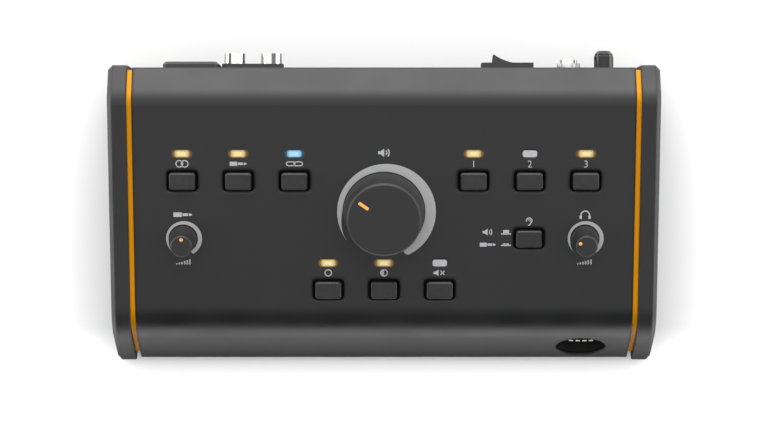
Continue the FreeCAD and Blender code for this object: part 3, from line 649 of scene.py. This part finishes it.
def make_marks():
    """A sign or a number above each button, and beside each knob."""
    signs = {
        "stereo_button": draw_stereo,
        "aux_button": draw_plug,
        "pairing_button": draw_link,
        "mono_button": draw_ring,
        "dim_button": draw_half,
        "mute_button": draw_muted,
        "listen_button": draw_ear,
    }
    for node, draw in signs.items():
        x, y = panel_place(node)
        sign(node + "_mark", draw, x, y + LABEL_ABOVE)
    for digit in "123":
        x, y = panel_place(f"output_{digit}_button")
        number(f"output_{digit}_mark", digit, x, y + LABEL_ABOVE, panel_matrix)
    sign("main_mark", draw_speaker, *MAIN_TITLE, 1.15)
    x, y = side_knob_place("aux")
    sign("aux_mark", draw_plug, x, y + SIDE_TITLE, 1.1)
    sign("aux_level_mark", draw_wedge, x, y + SIDE_FOOTING)
    x, y = side_knob_place("phones")
    sign("phones_mark", draw_headphones, x, y + SIDE_TITLE, 1.15)
    sign("phones_level_mark", draw_wedge, x, y + SIDE_FOOTING)
    x, y = panel_place("listen_button")
    rows = ((y + LISTEN_ROW, draw_button_out, draw_speaker), (y - LISTEN_ROW, draw_button_in, draw_plug))
    for index, (row, draw_state, draw_source) in enumerate(rows):
        sign(f"listen_state_{index}", draw_state, x - LISTEN_STATE, row)
        sign(f"listen_source_{index}", draw_source, x - LISTEN_SOURCE, row, 0.95)


# Plain numbers over the rear output sockets

REAR_NUMBER_RISE = 8.4


def make_rear_numbers():
    for digit in "123":
        hold = Vector(mounts[f"output_{digit}_left_socket"]["pos_m"]) / MM
        number(f"rear_number_{digit}", digit, -hold.x, hold.z + REAR_NUMBER_RISE, rear_matrix)


# Painted shade: black rings in the gap round each button cap, standing in for the shade in that gap

WELL_RADIUS = 1.6
CAP_RADIUS = 1.1
WELL_REACH = 8.0
WELL_SIDE_GAP = 0.04
WELL_TOP = -0.3
WELL_BOTTOM = -1.4


def rounded_outline(width, height, radius, steps=6):
    """A rounded rectangle about the middle, clockwise from the top right."""
    loop = []
    for corner, (sx, sy) in enumerate(((1, 1), (1, -1), (-1, -1), (-1, 1))):
        for step in range(steps + 1):
            degrees = corner * 90 + 90 * step / steps
            loop.append(on_circle(sx * (width / 2 - radius), sy * (height / 2 - radius), radius, degrees))
    return loop


def cap_size(node):
    """How wide and tall the cap is that stands out of the panel."""
    return panel_size([point for point in panel_points(node) if point[2] > 0])


def well_size(node):
    """How wide and tall the cover's opening round a button is, from the cover's points near by."""
    x, y = panel_place(node)
    return panel_size([point for point in panel_points("top_cover")
                       if abs(point[0] - x) < WELL_REACH and abs(point[1] - y) < WELL_REACH])


def button_painted_shade(node):
    """Painted shade for one button: a black ring from just beside its cap to the edge of its opening."""
    x, y = panel_place(node)
    cap_width, cap_height = cap_size(node)
    grow = 2 * WELL_SIDE_GAP
    inner = rounded_outline(cap_width + grow, cap_height + grow, CAP_RADIUS + WELL_SIDE_GAP)
    outer = rounded_outline(*well_size(node), WELL_RADIUS)
    inner = [(x + px, y + py) for px, py in inner]
    outer = [(x + px, y + py) for px, py in outer]

    def build(mesh):
        ribbon(mesh, inner, outer, WELL_BOTTOM, WELL_TOP, True)
    # The ring is painted shade, set just under the panel in the gap
    piece(node + "_painted_shade", build, panel_matrix, painted_shade_black)


def make_painted_shades():
    for node in frame["nodes"]:
        if node.endswith("_button"):
            button_painted_shade(node)


# The headphone socket's contacts, which show under the upper edge of its opening. Their finish glows, a
# painted glint.

CONTACT_COUNT = 4
CONTACT_PITCH = 2.7
CONTACT_WIDTH = 1.7
CONTACT_HEIGHT = 0.5
CONTACT_RADIUS = 0.2
CONTACT_DROP = 0.3
CONTACT_REACH = 0.1
CONTACT_AHEAD = 0.4
COLLAR_FRONT = 1.0


def contact(middle, sink):
    """One contact, moved sideways and down from the top of the collar."""
    def build(mesh):
        loop = rounded_outline(CONTACT_WIDTH, CONTACT_HEIGHT, CONTACT_RADIUS, 3)
        slab(mesh, [(x + middle, y - sink - CONTACT_DROP) for x, y in loop], -CONTACT_REACH, CONTACT_AHEAD)
    return build


def make_contacts():
    """Four spring contacts along the top of the socket's collar, whose glowing finish is a painted glint."""
    hold = Vector(mounts["headphone_socket"]["pos_m"])
    points = [vertex.co for vertex in frame["nodes"]["headphone_jack"].data.vertices]
    front = min(point.y for point in points)
    top = max(point.z for point in points if point.y < front + COLLAR_FRONT * MM)
    collar_radius = (top - hold.z) / MM
    place = Matrix.Translation((hold.x, front, top)) @ Matrix.Rotation(math.radians(90), 4, "X")
    for index in range(CONTACT_COUNT):
        middle = (index - (CONTACT_COUNT - 1) / 2) * CONTACT_PITCH
        sink = middle ** 2 / (2 * collar_radius)
        piece(f"headphone_contact_{index + 1}", contact(middle, sink), place, painted_glint_metal)


# The lit windows, and the light that each spills on the paint beside and above it

GLOW_RINGS = 5
GLOW_SIDE = 1.7
GLOW_TOP = 0.45
GLOW_HIGH = 0.03
WINDOW_WIDTH = 5.6
WINDOW_HEIGHT = 2.75
WINDOW_RADIUS = 1.0


def window_outline(spread_side, spread_top):
    """The outline of a window, grown sideways and upward by two amounts."""
    width = WINDOW_WIDTH + 2 * spread_side
    height = WINDOW_HEIGHT + 2 * spread_top
    radius = min(WINDOW_RADIUS + (spread_side + spread_top) / 2, width / 2, height / 2)
    return rounded_outline(width, height, radius)


def window_row(mesh, outline, x, y, high, fade, glow):
    """One row of points whose glow attribute is set."""
    row = []
    for px, py in outline:
        vertex = mesh.verts.new((x + px, y + py, high))
        vertex[fade] = glow
        row.append(vertex)
    return row


def window_glow(name, x, y, material):
    """A thin ring of paint whose glow attribute fades from the window outward."""
    def build(mesh):
        fade = mesh.verts.layers.float.new("glow")
        rows = []
        for ring in range(GLOW_RINGS + 2):
            share = min(max(ring - 1, 0) / (GLOW_RINGS - 1), 1.0)
            high = 0.0 if ring in (0, GLOW_RINGS + 1) else GLOW_HIGH
            outline = window_outline(GLOW_SIDE * share, GLOW_TOP * share)
            rows.append(window_row(mesh, outline, x, y, high, fade, 1.0 - share))
        bridge(mesh, rows + rows[:1])
    piece(name, build, panel_matrix, material)


FACE_RINGS = 4
FACE_INSET = 0.02
FACE_REACH = 0.9
FACE_LOW = 0.15
FACE_HIGH = 0.18


def window_face(name, x, y, material):
    """The lit face of a window, brightest in the middle."""
    def build(mesh):
        fade = mesh.verts.layers.float.new("glow")
        rows = []
        for ring in range(FACE_RINGS + 1):
            share = max(ring - 1, 0) / FACE_RINGS
            side = -WINDOW_WIDTH / 2 * share * FACE_REACH - FACE_INSET
            top = -WINDOW_HEIGHT / 2 * share * FACE_REACH - FACE_INSET
            high = FACE_LOW if ring == 0 else FACE_HIGH
            rows.append(window_row(mesh, window_outline(side, top), x, y, high, fade, share))
        bridge(mesh, rows)
        mesh.faces.new(rows[-1])
        mesh.faces.new(rows[0])
    piece(name, build, panel_matrix, material)


WARM_WINDOW = (glow_warm, face_warm, "lens_warm")
BLUE_WINDOW = (glow_blue, face_blue, "lens_blue")
LIT_WINDOWS = {
    "stereo_button": WARM_WINDOW,
    "aux_button": WARM_WINDOW,
    "output_1_button": WARM_WINDOW,
    "output_3_button": WARM_WINDOW,
    "mono_button": WARM_WINDOW,
    "dim_button": WARM_WINDOW,
    "pairing_button": BLUE_WINDOW,
}


def make_glows():
    window_rise = panel_place("pairing_lens")[1] - panel_place("pairing_button")[1]
    for node, (glow, face, slot) in LIT_WINDOWS.items():
        x, y = panel_place(node)
        window_glow(node + "_glow", x, y + window_rise, glow)
        window_face(node + "_window", x, y + window_rise, face)


# Floor, world and lamps. Each pair below is a place in metres and the floor's colour there.

FLOOR_HALF = 4.0
FLOOR_ROUGH = 0.9
FLOOR_TRUE = 0.8
# Darker beside the case's sides: a painted shadow in the floor's colour
FLOOR_SIDE_PAINTED_SHADE = (0.108, 0.74)
FLOOR_CLEAR = (0.136, 0.93)
# Brighter in front of the case: painted light over the shadow there
FLOOR_FRONT_START = -0.05
FLOOR_FRONT_PAINTED_LIGHT = (-0.074, 1.42)
# Darker close to the case for glossy rays: a painted shadow in reflections
GLOSSY_PAINTED_SHADE_NEAR = (0.068, 0.28)
GLOSSY_PAINTED_SHADE_FAR = (0.100, 1.35)
CASE_OVERHANG = 0.047


def floor_material():
    """A white floor that keeps the object's shadow.

    Camera and transmission rays see it pale, palest in front, which is painted light over the shadow in front
    of the case, and darker beside the case's sides, which is a painted shadow. Glossy rays see it pale too,
    but darker close to the case, a painted shadow in reflections. What it throws back on the object is its
    true colour.
    """
    material, nodes, links = new_material("floor_white")
    shader = nodes["Principled BSDF"]
    shader.inputs["Roughness"].default_value = FLOOR_ROUGH
    shader.inputs["Specular IOR Level"].default_value = 0.0
    axes = object_axes(nodes, links)
    aside = math_node(nodes, links, "ABSOLUTE", axes["X"])
    ahead = math_node(nodes, links, "ABSOLUTE", axes["Y"])
    past_side = math_node(nodes, links, "SUBTRACT", aside, CASE_OVERHANG)
    reach = math_node(nodes, links, "MAXIMUM", past_side, ahead)
    # Painted shadow in reflections: glossy rays see the floor darker close to the case
    glossy = map_range(nodes, links, reach, GLOSSY_PAINTED_SHADE_NEAR, GLOSSY_PAINTED_SHADE_FAR)
    # Painted shadow: the floor's colour is darker beside the case's sides
    beside = map_range(nodes, links, aside, FLOOR_SIDE_PAINTED_SHADE, FLOOR_CLEAR)
    # Painted light: camera rays see the floor brighter in front of the case
    seen = map_range(nodes, links, axes["Y"], (FLOOR_FRONT_START, FLOOR_TRUE), FLOOR_FRONT_PAINTED_LIGHT)
    links.new(beside.outputs["Result"], seen.inputs["To Min"])
    true = nodes.new("ShaderNodeRGB")
    true.outputs[0].default_value = (FLOOR_TRUE, FLOOR_TRUE, FLOOR_TRUE, 1)
    path = nodes.new("ShaderNodeLightPath").outputs
    to_camera = math_node(nodes, links, "MAXIMUM", path["Is Camera Ray"], path["Is Transmission Ray"])
    other = mix_colours(nodes, links, path["Is Glossy Ray"], true.outputs[0], glossy.outputs["Result"])
    colour = mix_colours(nodes, links, to_camera, other, seen.outputs["Result"])
    links.new(colour, shader.inputs["Base Color"])
    return material


def make_floor():
    mesh = bmesh.new()
    corners = ((-1, -1), (1, -1), (1, 1), (-1, 1))
    mesh.faces.new([mesh.verts.new((x * FLOOR_HALF, y * FLOOR_HALF, 0)) for x, y in corners])
    data = bpy.data.meshes.new("floor")
    mesh.to_mesh(data)
    mesh.free()
    data.materials.append(floor_material())
    floor = put_in_scene("floor", data)


# The sky's level by its direction: 0 is straight away from SKY_TOWARDS, and 1 straight along it
SKY_TOWARDS = (0.0, 0.82, 0.57)
SKY_STOPS = [(0.09, 0.01), (0.42, 0.06), (0.54, 0.95), (0.785, 1.25), (0.9, 1.9), (1.0, 3.6)]


def make_world():
    """Studio light, brightest at the rear and dark low in front. The camera sees plain white."""
    world = bpy.data.worlds.new("world")
    bpy.context.scene.world = world
    world.use_nodes = True
    nodes = world.node_tree.nodes
    links = world.node_tree.links
    sky = nodes["Background"]
    place = nodes.new("ShaderNodeTexCoord")
    towards = nodes.new("ShaderNodeVectorMath")
    towards.operation = "DOT_PRODUCT"
    towards.inputs[1].default_value = SKY_TOWARDS
    links.new(place.outputs["Generated"], towards.inputs[0])
    share = map_range(nodes, links, towards.outputs["Value"], (-1.0, 0.0), (1.0, 1.0))
    top = SKY_STOPS[-1][1]
    stops = [(position, (level / top,) * 3) for position, level in SKY_STOPS]
    links.new(ramp(nodes, links, share.outputs["Result"], stops), sky.inputs["Color"])
    sky.inputs["Strength"].default_value = top
    white = nodes.new("ShaderNodeBackground")
    white.inputs["Color"].default_value = (1, 1, 1, 1)
    path = nodes.new("ShaderNodeLightPath")
    mix = nodes.new("ShaderNodeMixShader")
    links.new(path.outputs["Is Camera Ray"], mix.inputs["Fac"])
    links.new(sky.outputs["Background"], mix.inputs[1])
    links.new(white.outputs["Background"], mix.inputs[2])
    links.new(mix.outputs["Shader"], nodes["World Output"].inputs["Surface"])


LAMPS = {
    "rear_lamp": {"place": (0.0, 1.3, 0.95), "aim": (0.0, 0.0, 0.04), "size": (1.2, 0.5), "watts": 3.0},
    "left_lamp": {"place": (-1.3, 0.0, 0.22), "aim": (0.0, 0.0, 0.05), "size": (1.0, 0.4), "watts": 5.0},
    "right_lamp": {"place": (1.3, 0.0, 0.22), "aim": (0.0, 0.0, 0.05), "size": (1.0, 0.4), "watts": 5.0},
    "low_rear_lamp": {"place": (0.0, 1.4, 0.28), "aim": (0.0, 0.0, 0.05), "size": (1.6, 0.3), "watts": 1.5},
}


def make_lamps():
    for name, lamp in LAMPS.items():
        data = bpy.data.lights.new(name, "AREA")
        data.shape = "RECTANGLE"
        data.size, data.size_y = lamp["size"]
        data.energy = lamp["watts"]
        thing = put_in_scene(name, data)
        thing.location = lamp["place"]
        towards = Vector(lamp["aim"]) - Vector(lamp["place"])
        thing.rotation_euler = towards.to_track_quat("-Z", "Y").to_euler()


make_camera()
dress_nodes()
make_scales()
make_marks()
make_rear_numbers()
make_painted_shades()
make_contacts()
make_glows()
make_floor()
make_world()
make_lamps()

bpy.context.scene.view_settings.view_transform = "Standard"
